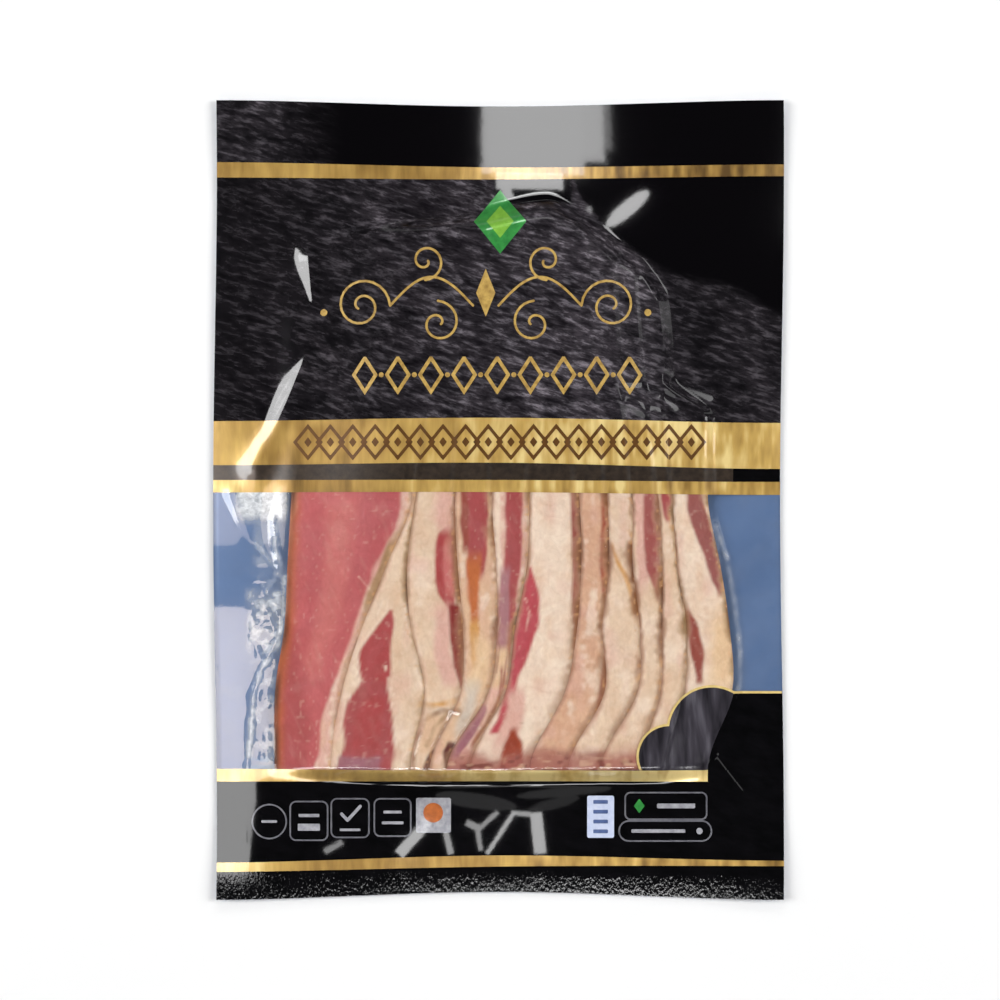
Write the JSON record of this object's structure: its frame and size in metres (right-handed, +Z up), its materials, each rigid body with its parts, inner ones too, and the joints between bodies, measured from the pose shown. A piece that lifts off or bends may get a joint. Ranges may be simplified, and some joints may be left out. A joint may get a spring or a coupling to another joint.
{
  "type": "bacon pack",
  "caption": "Flat vacuum-sealed film pouch of overlapped bacon slices, with a printed front, a clear window and a wide sealed rim.",
  "frame": {"origin": "under the middle of the pack, on the surface it lies on", "axes": "+X across the pack to its right as seen from the front, +Y towards its top edge, +Z up out of its printed front"},
  "size_m": [0.18, 0.252, 0.0104],
  "materials": {
    "printed_film": "glossy black printed film",
    "gold_print": "metallic gold ink under clear film",
    "clear_film": "clear glossy film",
    "back_film": "satin blue film",
    "bacon": "satin, moist sliced meat with pale fat",
    "print_details": "small printed shapes under clear film"
  },
  "bodies": {
    "root": {"pouch": "printed_film"}
  },
  "joints": []
}
